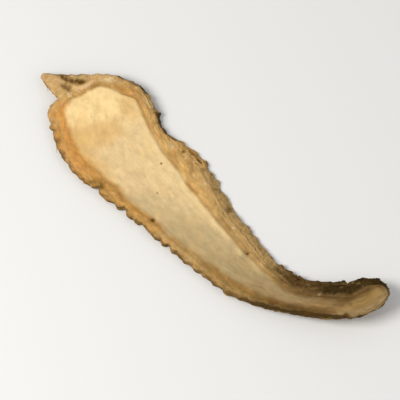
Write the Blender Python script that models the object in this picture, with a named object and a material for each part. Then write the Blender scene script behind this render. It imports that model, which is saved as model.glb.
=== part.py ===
"""A dried slice of dong quai root, cut lengthwise and lying with its cut face up.

It grew as one piece, so it is one solid: a pale woody core, the cortex round it, and bark on the
rim. Sizes are in millimetres, and the mesh is made in metres. +X runs from the head to the tail.
The near side, at -Y, has the scalloped edge, and the far side, at +Y, has the sloping bark.
"""

import math
from types import SimpleNamespace

import bmesh
import bpy
import numpy as np
from mathutils import Vector, noise

MM = 0.001

# How finely the slice is divided: along each side, and round each end
SIDE_STEPS = 90
HEAD_STEPS = 46
TAIL_STEPS = 16

# The middle line of the core, from the head to the tail: x, y, height of the underside, twist in
# degrees with the far side up, thickness, and how far the underside rounds up to the rim
MIDDLE_LINE = [
    (-29.5, 3.5, 0.8, 2.0, 1.9, 0.0),
    (-25.0, 0.4, 0.3, 1.0, 2.2, 0.0),
    (-16.5, -2.0, -0.2, 0.0, 2.5, 0.0),
    (-6.5, -3.6, -0.3, 0.0, 2.6, 0.0),
    (2.5, -4.9, -0.3, 0.0, 2.6, 0.0),
    (12.0, -6.2, -0.2, 0.0, 2.5, 0.1),
    (20.0, -6.5, 0.1, -1.0, 2.5, 0.3),
    (26.6, -5.8, 0.5, -3.0, 2.6, 0.6),
    (33.5, -3.8, 1.1, -5.0, 2.8, 0.9),
    (38.5, -1.1, 1.8, -7.0, 2.9, 1.0),
    (42.5, 2.5, 2.5, -8.0, 2.7, 1.0),
    (44.0, 6.0, 3.0, -8.0, 2.2, 0.8),
]
KEEL_RISE = 0.4

# Widths across the slice: distance along the middle line, half the core, the near cortex, the far
# cortex, and how far the far bark slopes out below the cut face
WIDTHS = [
    (0.0, 7.5, 4.2, 2.6, 0.9),
    (6.0, 8.2, 3.6, 2.7, 1.0),
    (12.0, 7.3, 3.4, 2.3, 1.0),
    (18.0, 6.5, 3.1, 4.2, 1.4),
    (25.0, 5.8, 2.7, 4.6, 1.9),
    (31.0, 5.1, 2.7, 3.8, 2.1),
    (38.0, 4.6, 2.3, 2.7, 2.1),
    (44.0, 4.1, 2.0, 2.6, 2.1),
    (50.0, 3.3, 2.4, 2.0, 2.2),
    (56.0, 2.6, 1.8, 1.1, 2.8),
    (62.0, 1.8, 1.3, 0.7, 3.6),
    (70.0, 1.8, 0.7, 0.6, 4.2),
    (80.0, 2.0, 0.6, 0.5, 3.2),
]

# The head end, turning from the far side past the ear to the near side: bearing from the middle
# line in degrees, core, cortex and bark
HEAD_END = [
    (100.0, 6.4, 3.2, 0.8),
    (110.0, 5.5, 3.5, 0.7),
    (133.0, 4.8, 3.6, 0.5),
    (165.0, 5.0, 3.0, 0.3),
    (190.0, 5.0, 3.9, 0.1),
    (213.0, 5.3, 6.9, 0.0),
    (224.0, 5.8, 10.0, 0.0),
    (230.0, 6.2, 7.2, -0.1),
    (237.0, 6.8, 4.0, -0.2),
    (246.0, 7.4, 3.3, -0.3),
    (256.0, 7.8, 4.1, -0.3),
]

# The tail end, turning from the near side to the far side, in the same terms
TAIL_END = [
    (-45.0, 2.1, 0.6, 0.0),
    (-10.0, 2.6, 0.7, 0.3),
    (25.0, 2.6, 0.6, 1.0),
    (60.0, 2.1, 0.5, 2.2),
]

# Notches torn in the near edge: distance along the middle line, depth, width
NOTCHES = [
    (14.4, 0.9, 1.2),
    (21.0, 1.1, 1.3),
    (26.5, 0.8, 1.1),
    (34.0, 0.7, 1.2),
    (73.5, 0.8, 0.9),
]

# Pits in the cut face and the bark: distance along the middle line, distance across it to the far
# side, radius, depth
PITS = [
    (-7.5, -7.0, 0.8, 0.4),
    (-6.1, -5.7, 0.8, 0.4),
    (27.6, -5.4, 0.8, 0.5),
    (19.7, 10.3, 1.0, 0.6),
    (24.5, 10.3, 1.2, 0.7),
    (30.9, 9.7, 1.0, 0.7),
    (36.1, 8.8, 0.9, 0.6),
    (47.3, 4.0, 0.8, 0.5),
]

# Relief of the cut face: the rise of the core, the lip along its far side, which fades out towards
# the tail, the groove round it, the sunk cortex, the fall to the cut edge, and broad waves
CROWN = 0.15
LIP_INSET = 0.6
LIP_HEIGHT = 0.06
LIP_END = 58.0
LIP_FADE = 20.0
GROOVE_OFFSET = 0.45
GROOVE_DEPTH = 0.2
GROOVE_LEFT = 0.3
CORTEX_SAG = 0.3
EDGE_DROP = 0.6
FACE_WAVE = 0.16
FACE_WAVE_PITCH = 7.0

# How far the core's outline wanders, and over what length
CORE_WANDER = 0.4
CORE_WANDER_PITCH = 4.0

# The sines of the bearings between which the lip rises, and between which the groove gets deeper
# than the share of it that the near side has
LIP_TURN = (0.0, 0.6)
GROOVE_TURN = (-0.9, -0.5)

# The share of its thickness that the ear loses for each millimetre past its root
EAR_ROOT = 12.2
EAR_THINNING = 0.12

# The edge: how far the near flank leans in, with the share that is left of it at the tail, the
# chamfer under the rim, and the cortex width at which groove, scallops and fraying reach full size
NEAR_UNDERCUT = 0.4
UNDERCUT_LEFT = 0.2
UNDER_CHAMFER = 0.35
FULL_CORTEX = 3.0
LEAST_ROOM = 0.25

# The near edge's scallops: their pitch and how it wanders, their depth and how it varies, the reach
# about which they swing, where they fade towards the tail and what is left of them there, and where
# they reach full depth with their share of it at the head
SCALLOP_PITCH = 3.0
SCALLOP_WANDER = 1.2
SCALLOP_WANDER_PITCH = 9.0
SCALLOP_DEPTH = 0.75
SCALLOP_LEAST = 0.6
SCALLOP_SPREAD = 0.8
SCALLOP_SPREAD_PITCH = 5.0
SCALLOP_MIDDLE = 0.75
SCALLOPS_END = 46.0
SCALLOPS_FADE = 12.0
SCALLOPS_LEFT = 0.25
SCALLOPS_START = 14.0
SCALLOPS_AT_HEAD = 0.5

# The frayed rim and the ridges of the bark
FRAY = 0.3
FRAY_PITCH = 1.8
BARK_FRAY = 0.45
BARK_RIDGE = 0.35
BARK_RIDGE_PITCH = 1.9
SHARP_ANGLE = 50.0

# Layers of the smooth noise, one for each use of it
LAYER_CORE = 1.0
LAYER_SCALLOP = 3.0
LAYER_WAVE = 4.0
LAYER_RIDGE = 6.0
LAYER_SPREAD = 7.0
LAYER_BARK_FRAY = 9.0

# Finish of each zone: colour and roughness
FINISHES = {
    "core": ((0.72, 0.54, 0.31, 1.0), 0.72),
    "cortex": ((0.50, 0.28, 0.10, 1.0), 0.68),
    "bark": ((0.14, 0.08, 0.03, 1.0), 0.85),
}


def through(rows, at):
    """The rows' other columns where the first has the values at, on a smooth curve through them."""
    table = np.array(rows, dtype=float)
    known, values = table[:, 0], table[:, 1:]
    slopes = np.gradient(values, known, axis=0)
    i = np.clip(np.searchsorted(known, at, side="right") - 1, 0, len(known) - 2)
    gap = (known[i + 1] - known[i])[:, None]
    t = (at - known[i])[:, None] / gap
    start = (1 + 2 * t) * (1 - t) ** 2 * values[i] + t * (1 - t) ** 2 * gap * slopes[i]
    end = t * t * (3 - 2 * t) * values[i + 1] + t * t * (t - 1) * gap * slopes[i + 1]
    return (start + end).T


def bumps(pitch, a, b=0.0, layer=0.0):
    """Smooth noise between -1 and 1 at each pair of values, with bumps about pitch apart."""
    pairs = np.broadcast(a, b)
    values = [noise.noise(Vector((u / pitch, v / pitch, layer))) for u, v in pairs]
    return np.array(values).reshape(pairs.shape)


def with_distance(points):
    """Rows of a path, each with its distance from the start in front."""
    table = np.array(points)
    steps = np.hypot(*np.diff(table[:, :2], axis=0).T)
    return np.column_stack([np.concatenate([[0.0], np.cumsum(steps)]), table])


def columns_round_the_slice():
    """The places where the slice is cut, anticlockwise from the near side of the head.

    Each column leaves the middle line at a distance from the head, on a bearing from it.
    """
    path = with_distance(MIDDLE_LINE)
    length = path[-1, 0]
    side = np.linspace(0.0, length, SIDE_STEPS + 1)
    tail = np.linspace(-90.0, 90.0, TAIL_STEPS + 1)[1:-1]
    head = np.linspace(90.0, 270.0, HEAD_STEPS + 1)[1:-1]
    distance = np.concatenate([side, np.full(len(tail), length), side[::-1], np.zeros(len(head))])
    bearing = np.concatenate([np.full(len(side), -90.0), tail, np.full(len(side), 90.0), head])
    x, y, lift, twist, thickness, keel = through(path, distance)
    ahead = (through(path, distance + 0.1) - through(path, distance - 0.1))[:3] / 0.2
    return SimpleNamespace(
        distance=distance,
        bearing=bearing,
        base=np.rint(distance / length * SIDE_STEPS).astype(int),
        along=np.cos(np.radians(bearing)),
        across=np.sin(np.radians(bearing)),
        x=x,
        y=y,
        lift=lift,
        ahead=ahead,
        twist=np.tan(np.radians(twist)),
        thickness=thickness,
        underside=KEEL_RISE * keel * thickness,
    )


def set_widths(columns):
    """Give each column the width of its core, cortex and bark."""
    core, near, far, far_bark = through(WIDTHS, columns.distance)
    length = columns.distance.max()
    near_bark = -NEAR_UNDERCUT * np.clip(1.0 - columns.distance / length, UNDERCUT_LEFT, 1.0)
    on_far = columns.bearing > 0.0
    widths = np.array([core, np.where(on_far, far, near), np.where(on_far, far_bark, near_bark)])
    round_tail = (columns.distance == length) & (abs(columns.bearing) < 90.0)
    round_head = (columns.distance == 0.0) & (columns.bearing > 90.0)
    for rows, turned in ((TAIL_END, round_tail), (HEAD_END, round_head)):
        there = np.flatnonzero(turned)
        before, after = there[0] - 1, (there[-1] + 1) % len(turned)
        last = columns.bearing[before] + 180.0
        ends = [(columns.bearing[before], *widths[:, before]), *rows, (last, *widths[:, after])]
        widths[:, turned] = through(ends, columns.bearing[turned])
    core, cortex, columns.bark = widths
    edge = place(columns, core, 0.0)
    room = np.clip(cortex / FULL_CORTEX, LEAST_ROOM, 1.0)
    wander = CORE_WANDER * room * bumps(CORE_WANDER_PITCH, edge[:, 0], edge[:, 1], LAYER_CORE)
    columns.core, columns.cortex = core + wander, cortex - wander


def roughen_edge(columns):
    """Scallop and notch the near edge and fray the rest."""
    edge = place(columns, columns.core + columns.cortex, 0.0)
    rim = np.cumsum(np.linalg.norm(np.diff(edge, axis=0, prepend=edge[:1]), axis=1))
    near = np.clip(-1.5 * columns.across, 0.0, 1.0)
    room = np.clip(columns.cortex / FULL_CORTEX, LEAST_ROOM, 1.0)
    wander = SCALLOP_WANDER * bumps(SCALLOP_WANDER_PITCH, rim, LAYER_SCALLOP)
    lobe = abs(np.sin(math.pi * (rim / SCALLOP_PITCH + wander)))
    strength = SCALLOP_LEAST + SCALLOP_SPREAD * abs(bumps(SCALLOP_SPREAD_PITCH, rim, LAYER_SPREAD))
    fade = np.clip((SCALLOPS_END - columns.distance) / SCALLOPS_FADE, SCALLOPS_LEFT, 1.0)
    fade = fade * np.clip(columns.distance / SCALLOPS_START, SCALLOPS_AT_HEAD, 1.0)
    scallop = SCALLOP_DEPTH * strength * fade * (lobe - SCALLOP_MIDDLE)
    torn = sum(
        depth * np.exp(-((2.0 * (columns.distance - at) / width) ** 2)) for at, depth, width in NOTCHES
    )
    columns.cortex = columns.cortex + room * (near * (scallop - torn) + FRAY * bumps(FRAY_PITCH, rim))
    columns.bark = columns.bark + BARK_FRAY * (1.0 - near) * bumps(FRAY_PITCH, rim, LAYER_BARK_FRAY)
    columns.rim = rim


def face_rings(columns):
    """The rings of the cut face, outward from the middle line: zone, reach and height."""
    core, cortex, top = columns.core, columns.cortex, columns.thickness
    lip = core - np.minimum(LIP_INSET, 0.25 * core)
    rise = LIP_HEIGHT * np.interp(columns.across, LIP_TURN, (0.0, 1.0))
    rise = rise * np.clip((LIP_END - columns.distance) / LIP_FADE, 0.0, 1.0)
    groove = core + np.minimum(GROOVE_OFFSET, 0.3 * cortex)
    rest = core + cortex - groove
    depth = GROOVE_DEPTH * np.interp(columns.across, GROOVE_TURN, (GROOVE_LEFT, 1.0))
    depth = depth * np.clip(cortex / FULL_CORTEX, LEAST_ROOM, 1.0)
    return [
        ("core", 0.0 * core, top + CROWN),
        ("core", 0.3 * lip, top + CROWN),
        ("core", 0.55 * lip, top + 0.8 * CROWN),
        ("core", 0.8 * lip, top + 0.4 * CROWN),
        ("core", lip, top + rise),
        ("core", 0.4 * lip + 0.6 * core, top + rise),
        ("cortex", groove, top - depth),
        ("cortex", groove + 0.2 * rest, top - 0.3 * depth),
        ("cortex", groove + 0.45 * rest, top - 0.3 * CORTEX_SAG),
        ("cortex", groove + 0.7 * rest, top - 0.8 * CORTEX_SAG),
        ("cortex", groove + 0.9 * rest, top - CORTEX_SAG),
        ("cortex", groove + rest, top - EDGE_DROP),
    ]


def flank_rings(columns):
    """The rings of the bark, down from the cut face to the underside: zone, reach and height."""
    edge, bark, top = columns.core + columns.cortex, columns.bark, columns.thickness
    under = columns.underside
    return [
        ("bark", edge + 0.3 * bark, 0.66 * top),
        ("bark", edge + 0.7 * bark, 0.48 * top),
        ("bark", edge + 0.95 * bark, 0.3 * top),
        ("bark", edge + bark - 0.3 * UNDER_CHAMFER, 0.14 * top + 0.8 * under),
        ("bark", edge + bark - UNDER_CHAMFER, under),
    ]


def under_rings(columns):
    """The rings of the underside, inward to the middle line: zone, reach and height."""
    core, under = columns.core, columns.underside
    turn = core + columns.cortex + columns.bark - UNDER_CHAMFER
    return [
        ("cortex", 0.4 * core + 0.6 * turn, 0.4 * under),
        ("cortex", 0.9 * core, 0.1 * under),
        ("core", 0.45 * core, 0.0 * under),
        ("core", 0.0 * core, 0.0 * under),
    ]


def place(columns, out, height):
    """The points of each column at a reach out from the middle line."""
    along, across = out * columns.along, out * columns.across
    ahead_x, ahead_y, climb = columns.ahead
    x = columns.x + ahead_x * along - ahead_y * across
    y = columns.y + ahead_y * along + ahead_x * across
    z = columns.lift + climb * along + columns.twist * across + height
    return np.column_stack([x, y, z])


def weathered(columns, out, height):
    """The height of the upper side with its ear thinned, its face wavy and its pits sunk."""
    along, across = columns.distance + out * columns.along, out * columns.across
    height = height * (1.0 - EAR_THINNING * np.clip(out - EAR_ROOT, 0.0, None))
    height = height + FACE_WAVE * bumps(FACE_WAVE_PITCH, along, across, LAYER_WAVE)
    for at, far, radius, depth in PITS:
        away = (along - at) ** 2 + (across - far) ** 2
        height = height - depth * np.exp(-away / radius**2)
    return height


def ring_points(columns):
    """The zone of every ring, and its points as an array of ring, column and coordinate."""
    zones, rings = [], []
    for zone, out, height in face_rings(columns):
        zones.append(zone)
        rings.append(place(columns, out, weathered(columns, out, height)))
    for number, (zone, out, height) in enumerate(flank_rings(columns)):
        zones.append(zone)
        ridged = out + BARK_RIDGE * bumps(BARK_RIDGE_PITCH, columns.rim, number, LAYER_RIDGE)
        rings.append(place(columns, ridged, weathered(columns, out, height)))
    for zone, out, height in under_rings(columns):
        zones.append(zone)
        rings.append(place(columns, out, height))
    points = np.array(rings)
    points[..., 2] = np.maximum(points[..., 2], 0.0)
    points[..., :2] -= (points[..., :2].min((0, 1)) + points[..., :2].max((0, 1))) / 2
    return zones, points


def skin(columns, zones, points):
    """One closed mesh over the rings. The first ring and the last are the middle line itself."""
    mesh = bmesh.new()
    rows = []
    for ring in points:
        rows.append([mesh.verts.new(Vector(point) * MM) for point in ring])
    for shared in (rows[0], rows[-1]):
        first = {}
        for i, base in enumerate(columns.base):
            kept = first.setdefault(base, shared[i])
            if kept is not shared[i]:
                mesh.verts.remove(shared[i])
                shared[i] = kept
    finish = {zone: number for number, zone in enumerate(FINISHES)}
    for inner, outer, zone in zip(rows, rows[1:], zones[1:]):
        for i, j in zip(range(len(inner)), [*range(1, len(inner)), 0]):
            corners = list(dict.fromkeys([inner[i], outer[i], outer[j], inner[j]]))
            mesh.faces.new(corners).material_index = finish[zone]
    bmesh.ops.recalc_face_normals(mesh, faces=mesh.faces)
    return mesh


def make_finish(name, colour, roughness):
    """A matt material for one zone of the slice."""
    material = bpy.data.materials.new(name)
    material.use_nodes = True
    shader = material.node_tree.nodes["Principled BSDF"]
    shader.inputs["Base Color"].default_value = colour
    shader.inputs["Roughness"].default_value = roughness
    shader.inputs["Metallic"].default_value = 0.0
    material.diffuse_color = colour
    return material


def make_root_slice():
    """The whole slice."""
    columns = columns_round_the_slice()
    set_widths(columns)
    roughen_edge(columns)
    zones, points = ring_points(columns)
    mesh = skin(columns, zones, points)
    data = bpy.data.meshes.new("root_slice")
    mesh.to_mesh(data)
    mesh.free()
    data.shade_smooth()
    data.set_sharp_from_angle(angle=math.radians(SHARP_ANGLE))
    for name, (colour, roughness) in FINISHES.items():
        data.materials.append(make_finish(name, colour, roughness))
    bpy.context.collection.objects.link(bpy.data.objects.new("root_slice", data))


def clear_scene():
    """Start from an empty scene."""
    for thing in list(bpy.data.objects):
        bpy.data.objects.remove(thing, do_unlink=True)


clear_scene()
make_root_slice()
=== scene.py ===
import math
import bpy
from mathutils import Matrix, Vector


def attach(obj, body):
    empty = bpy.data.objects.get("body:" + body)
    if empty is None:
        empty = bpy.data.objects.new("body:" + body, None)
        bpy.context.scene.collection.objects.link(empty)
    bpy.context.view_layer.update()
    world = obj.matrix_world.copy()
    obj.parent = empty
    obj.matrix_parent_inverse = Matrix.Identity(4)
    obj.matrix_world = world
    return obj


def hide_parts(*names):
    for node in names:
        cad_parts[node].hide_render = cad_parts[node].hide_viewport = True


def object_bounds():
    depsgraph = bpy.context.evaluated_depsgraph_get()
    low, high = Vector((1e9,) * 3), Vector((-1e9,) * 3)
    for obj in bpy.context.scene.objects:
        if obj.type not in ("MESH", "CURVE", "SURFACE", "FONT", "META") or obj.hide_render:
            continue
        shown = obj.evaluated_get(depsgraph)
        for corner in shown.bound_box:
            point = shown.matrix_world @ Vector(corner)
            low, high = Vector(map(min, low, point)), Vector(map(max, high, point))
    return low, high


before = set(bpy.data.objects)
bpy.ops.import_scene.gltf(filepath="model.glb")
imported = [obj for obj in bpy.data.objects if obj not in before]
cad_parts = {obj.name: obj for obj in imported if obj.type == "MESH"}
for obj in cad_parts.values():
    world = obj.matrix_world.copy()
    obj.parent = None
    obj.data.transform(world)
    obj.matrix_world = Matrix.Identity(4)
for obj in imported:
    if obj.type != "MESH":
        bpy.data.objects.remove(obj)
CAD_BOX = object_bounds()

# A dried slice of dong quai root, cut lengthwise and lying with its cut face up.
# The form follows the frame's solid: a walk round the slice gives columns, and each column carries a
# profile out over the face, down the bark and back under. Tables are in millimetres, meshes in metres.

from types import SimpleNamespace

import bpy
import numpy as np
from bpy.props import FloatProperty, FloatVectorProperty, IntProperty, PointerProperty
from mathutils import Vector, noise

bl_info = {
    "name": "Dried root slice",
    "version": (1, 0, 0),
    "blender": (4, 5, 0),
    "location": "View3D > Sidebar > Root slice",
    "description": "Makes a dried slice of dong quai root with its torn edge, fibres, flakes and crumbs",
    "category": "Add Mesh",
}

MM = 0.001
NODE = "root_slice"
BODY = "root"
MATT_SPECULAR = 0.1

# The middle line of the core, from the head to the tail: x, y, height of the underside, twist in
# degrees with the far side up, thickness, and how far the underside rounds up to the rim, as a share
# of the keel's rise
MIDDLE_LINE = [
    (-29.5, 3.5, 0.8, 2, 1.9, 0), (-25, 0.4, 0.3, 1, 2.2, 0), (-16.5, -2, -0.2, 0, 2.5, 0),
    (-6.5, -3.6, -0.3, 0, 2.6, 0), (2.5, -4.9, -0.3, 0, 2.6, 0), (12, -6.2, -0.2, 0, 2.5, 0.1),
    (20, -6.5, 0.1, -1, 2.5, 0.3), (26.6, -5.8, 0.5, -3, 2.6, 0.6), (33.5, -3.8, 1.1, -5, 2.8, 0.9),
    (38.5, -1.1, 1.8, -7, 2.9, 1), (42.5, 2.5, 2.5, -8, 2.7, 1), (44, 6, 3, -8, 2.2, 0.8),
]

# The keel's rise, as a share of the thickness, and how far on either side of a place the middle
# line's slope is taken
KEEL_RISE = 0.4
SLOPE_REACH = 0.1

# Widths across the slice: distance along the middle line, half the core, the near cortex, the far
# cortex, and how far the far bark slopes out below the cut face
WIDTHS = [
    (0, 7.5, 4.2, 2.6, 0.9), (6, 8.2, 3.6, 2.7, 1), (12, 7.3, 3.4, 2.3, 1), (18, 6.5, 3.1, 4.2, 1.4),
    (25, 5.8, 2.7, 4.6, 1.9), (31, 5.1, 2.7, 3.8, 2.1), (38, 4.6, 2.3, 2.7, 2.1),
    (44, 4.1, 2, 2.6, 2.1), (50, 3.3, 2.4, 2, 2.2), (56, 2.6, 1.8, 1.1, 2.8), (62, 1.8, 1.3, 0.7, 3.6),
    (70, 1.8, 0.7, 0.6, 4.2), (80, 2, 0.6, 0.5, 3.2),
]

# The head end, turning from the far side past the ear to the near side: bearing from the middle
# line in degrees, core, cortex and bark. Then the tail end, from the near side to the far side
HEAD_END = [
    (100, 6.4, 3.2, 0.8), (110, 5.5, 3.5, 0.7), (133, 4.8, 3.6, 0.5), (165, 5, 3, 0.3),
    (190, 5, 3.9, 0.1), (213, 5.3, 6.9, 0), (224, 5.8, 10, 0), (230, 6.2, 7.2, -0.1),
    (237, 6.8, 4, -0.2), (246, 7.4, 3.3, -0.3), (256, 7.8, 4.1, -0.3),
]
TAIL_END = [(-45, 2.1, 0.6, 0), (-10, 2.6, 0.7, 0.3), (25, 2.6, 0.6, 1), (60, 2.1, 0.5, 2.2)]

# Notches torn in the near edge: distance along the middle line, depth, width
NOTCHES = [(14.4, 0.9, 1.2), (21, 1.1, 1.3), (26.5, 0.8, 1.1), (34, 0.7, 1.2), (73.5, 0.8, 0.9)]

# Pits in the cut face and the bark: distance along the middle line, distance across it to the far
# side, radius, depth
PITS = [
    (-7.5, -7, 0.8, 0.4), (-6.1, -5.7, 0.8, 0.4), (27.6, -5.4, 0.8, 0.5), (19.7, 10.3, 1, 0.6),
    (24.5, 10.3, 1.2, 0.7), (30.9, 9.7, 1, 0.7), (36.1, 8.8, 0.9, 0.6), (47.3, 4, 0.8, 0.5),
]

# The pale ridge of the ear, in the same terms but for the last, which is its height
RIDGE = [
    (-8, -6.5, 0.5, 0.05), (-6.4, -5, 0.55, 0.08), (-5.9, -4.1, 0.5, 0.13), (-5.8, -3.3, 0.5, 0.17),
    (-5.8, -2.5, 0.5, 0.18), (-6, -1.8, 0.5, 0.17), (-6.3, -1.1, 0.5, 0.15), (-6.6, -0.4, 0.45, 0.11),
    (-6.8, 0.3, 0.45, 0.07),
]

# Dark spots and stains of the cut face, with painted shadow on the ear's upper side and along the
# tail's near edge, in the same terms but for the last, which is how dark, and then pale specks with
# painted highlights
SPOTS_AND_SHADOWS = [
    # Rows from (-6.9, -1.7) to (-9.8, -6.8) are painted shadow on the ear's upper side; those at 52, 56.2
    # and 66.2 are painted shadow along the tail's near edge
    (-7.5, -7.1, 0.8, 0.45), (-6.8, -6.5, 0.8, 0.5), (-6.1, -5.8, 0.8, 0.5), (-6.9, -1.7, 0.7, 0.35),
    (-7.1, -2.6, 0.9, 0.5), (-7.3, -3.5, 1, 0.5), (-7.8, -4.5, 1, 0.5), (-8.4, -5.5, 1, 0.5),
    (-9.1, -6.3, 0.8, 0.5), (-9.8, -6.8, 0.7, 0.45), (9.6, 4.6, 0.35, 0.4), (18.9, 4.6, 0.36, 0.75),
    (23.6, -0.7, 0.4, 0.55), (31.9, 0.5, 0.5, 0.2), (33.4, -2.3, 0.8, 0.2), (27.6, -5.4, 0.62, 0.9),
    (4.2, -11, 1.2, 0.35), (2.4, -11.6, 0.9, 0.3), (12.2, -10.2, 1, 0.5), (14.1, -8.2, 1.2, 0.5),
    (15.3, -8.7, 0.8, 0.45), (13, -9.2, 0.7, 0.35), (47.3, 4, 0.45, 0.8), (19.7, 10.3, 0.7, 0.7),
    (21.6, 11.2, 0.8, 0.7), (30.9, 9.7, 0.7, 0.6), (33.6, 8.6, 0.6, 0.5), (36.1, 8.9, 0.8, 0.7),
    (54.7, 4.7, 0.9, 0.5), (57.8, 3.1, 0.9, 0.5), (64.3, -1.6, 0.7, 0.35), (52, -5.6, 1, 0.4),
    (56.2, -4.4, 1.1, 0.4), (66.2, -2.9, 1.4, 0.5), (73.5, -2.3, 0.7, 0.9), (75.8, -2.6, 0.5, 0.5),
    (-5.6, 6.9, 0.9, 0.4),
]
SPECKS_AND_HIGHLIGHTS = [
    # Rows at (-5, -6.2), (-6.4, 2), (-6.1, 3.2), (-5.7, 4.3) and (67.4, 2.5) are painted highlights; the
    # rest are pale specks
    (-5, -6.2, 0.7, 0.7), (-4.6, -8.3, 0.8, 0.3), (-6.4, 2, 0.7, 0.5), (-6.1, 3.2, 0.8, 0.7),
    (-5.7, 4.3, 0.7, 0.5), (-2.6, 8.7, 0.9, 0.4), (0.8, 10.1, 0.8, 0.5), (2.2, 10.3, 0.6, 0.45),
    (10.6, 9.6, 0.6, 0.4), (21.3, 9.4, 0.4, 0.8), (23.1, 10.3, 0.4, 0.8), (16.3, 9, 1.2, 0.5),
    (17.5, 9, 0.5, 0.5), (28.4, 8.4, 1.3, 0.4), (51.6, 4.2, 0.9, 0.35), (25.6, 8, 0.6, 0.5),
    (40.5, 6.3, 0.7, 0.5), (67.4, 2.5, 0.6, 0.5),
]

# Where the core's colour stops short of its outline or, below 0, runs past it, on either side: the
# middle of each stretch along the middle line, half its width, and how far in
NEAR_EDGE_IN = [(-5.5, 1.8, 0.45), (0.5, 3, -0.4), (22, 4.5, -0.4), (32.3, 3, -0.5), (44, 3, 0.25)]
FAR_EDGE_IN = [(-3, 1.8, -0.3), (4, 3, 0.4), (14, 4, -0.35), (24, 2.5, -0.5), (28, 2.5, 0.4)]

# Relief of the cut face: the core's crown, the lip on its far side, the groove round it, the sunk
# cortex, the fall to the cut edge, and broad waves
CROWN = 0.15
LIP_INSET = 0.6
LIP_HEIGHT = 0.06
LIP_END = 58
LIP_FADE = 20
GROOVE_OFFSET = 0.45
GROOVE_DEPTH = 0.2
GROOVE_LEFT = 0.3
CORTEX_SAG = 0.3
EDGE_DROP = 0.6
FACE_WAVE = 0.16
FACE_WAVE_PITCH = 7

# How far the core's outline wanders, and over what length
CORE_WANDER = 0.4
CORE_WANDER_PITCH = 4

# The sines of the bearings between which the lip rises, and between which the groove gets deeper
# than the share of it that the near side has
LIP_TURN = (0.0, 0.6)
GROOVE_TURN = (-0.9, -0.5)

# The share of its thickness that the ear loses for each millimetre past its root
EAR_ROOT = 12.2
EAR_THINNING = 0.12

# The edge: how far the near flank leans in, the share of that left at the tail, the chamfer under the
# rim, and the cortex width at which groove, scallops and fraying reach full size
NEAR_UNDERCUT = 0.4
UNDERCUT_LEFT = 0.2
UNDER_CHAMFER = 0.35
FULL_CORTEX = 3
LEAST_ROOM = 0.25

# The near edge's scallops: pitch, depth, how both vary, the reach about which they swing, and where
# they fade towards the tail and the head, with the shares that are left there
SCALLOP_PITCH = 3
SCALLOP_WANDER = 1.2
SCALLOP_WANDER_PITCH = 9
SCALLOP_DEPTH = 0.75
SCALLOP_LEAST = 0.6
SCALLOP_SPREAD = 0.8
SCALLOP_SPREAD_PITCH = 5
SCALLOP_MIDDLE = 0.75
SCALLOPS_END = 46
SCALLOPS_FADE = 12
SCALLOPS_LEFT = 0.25
SCALLOPS_START = 14
SCALLOPS_AT_HEAD = 0.5

# The frayed rim, coarse and fine, and the ridges of the bark
FRAY = 0.3
FRAY_PITCH = 1.8
FINE_FRAY = 0.12
FINE_FRAY_PITCH = 0.6
BARK_FRAY = 0.45
BARK_RIDGE = 0.35
BARK_RIDGE_PITCH = 1.9

# How many rings cross the core, the lip and groove, the cortex, the bark and the underside, and the
# number of the profile's point where each of them ends
CORE_RINGS, CORE_END = 36, 4
GROOVE_RINGS, GROOVE_END = 8, 6
CORTEX_RINGS, FACE_END = 20, 11
BARK_RINGS, BARK_END = 14, 5
UNDER_RINGS, UNDER_END = 11, 4

# Layers of the smooth noise, one for each use of it
LAYER_CORE, LAYER_SCALLOP, LAYER_WAVE, LAYER_FINE = 1, 3, 4, 5
LAYER_RIDGE, LAYER_SPREAD, LAYER_BARK_FRAY = 6, 7, 9

# Attributes of the mesh that are read number by number, and what each one's three numbers are
ATTRIBUTES = {
    "grain_place": ("along", "across", "height"),
    "zone": ("past_core", "share", "down"),
    "side": ("far", "below", "open_side"),
    "marks": ("spots", "specks", "ridge"),
    "relief": ("cracks", "wrinkles", "crumbs"),
}

# Colours along the slice, each from a place on. The darkening towards the tail is partly the root's
# own colour and partly painted shade
CORE_COLOURS = [
    (-6, "core_head"), (1, "core_head"), (8, "core_middle"), (20, "core_middle"), (33, "core_low"),
    (50, "core_lower"), (58, "core_tail"), (64, "core_tail"), (70, "core_end"), (73, "core_end"),
    (77, "worn_bark"), (81, "worn_bark"),
]
NEAR_CORTEX_COLOURS = [
    (-5.5, "pale_rim"), (-2.5, "near_cortex"), (10, "near_cortex"), (14, "brown_cortex"),
    (28, "brown_cortex"), (32, "low_cortex"), (39, "low_cortex"), (44, "worn_bark"), (52, "worn_bark"),
    (58, "tail_cortex"), (67, "tail_cortex"), (71, "core_end"), (74, "core_tail"),
]
FAR_CORTEX_COLOURS = [
    (-6, "pale_rim"), (-5, "pale_rim"), (-3.5, "brown_cortex"), (-1.5, "brown_cortex"),
    (0.5, "far_cortex"), (33, "far_cortex"), (38, "low_cortex"), (52, "low_cortex"),
    (56.5, "worn_bark"), (60, "core_end"), (64, "tail_cortex"),
]
FAR_BARK_COLOURS = [
    (-6, "bark"), (-4, "tail_cortex"), (-1.5, "low_cortex"), (2, "low_cortex"), (5, "tail_cortex"),
    (13, "tail_cortex"), (16.5, "brown_cortex"), (21, "brown_cortex"), (26, "low_cortex"),
    (53, "low_cortex"), (58, "tail_cortex"), (64, "tail_cortex"), (70, "bark"),
]

# Soft stains: share, colour, pitch on each axis, shift, where the noise starts and ends, and detail
CORE_STAINS = [
    (0.25, "core_warm", (4, 2.2, 5), 41, 0.45, 0.68, 3),
    (0.2, "core_grey", (2.6, 1.9, 5), 43, 0.48, 0.68, 4),
]
CORE_GRAIN = [
    (0.16, "low_cortex", (4, 0.5, 5), 47, 0.5, 0.74, 3), (0.16, "speck", (3, 0.6, 5), 49, 0.5, 0.74, 3),
]
CORTEX_STAINS = [
    (0.28, "cambium", (3.5, 3.5, 0.9), 71, 0.47, 0.7, 4),
    (0.35, "pale_rim", (1.8, 1.8, 1.1), 73, 0.5, 0.7, 3),
    (0.45, "flush", (2.4, 2.4, 1.8), 75, 0.5, 0.66, 3),
]

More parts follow.
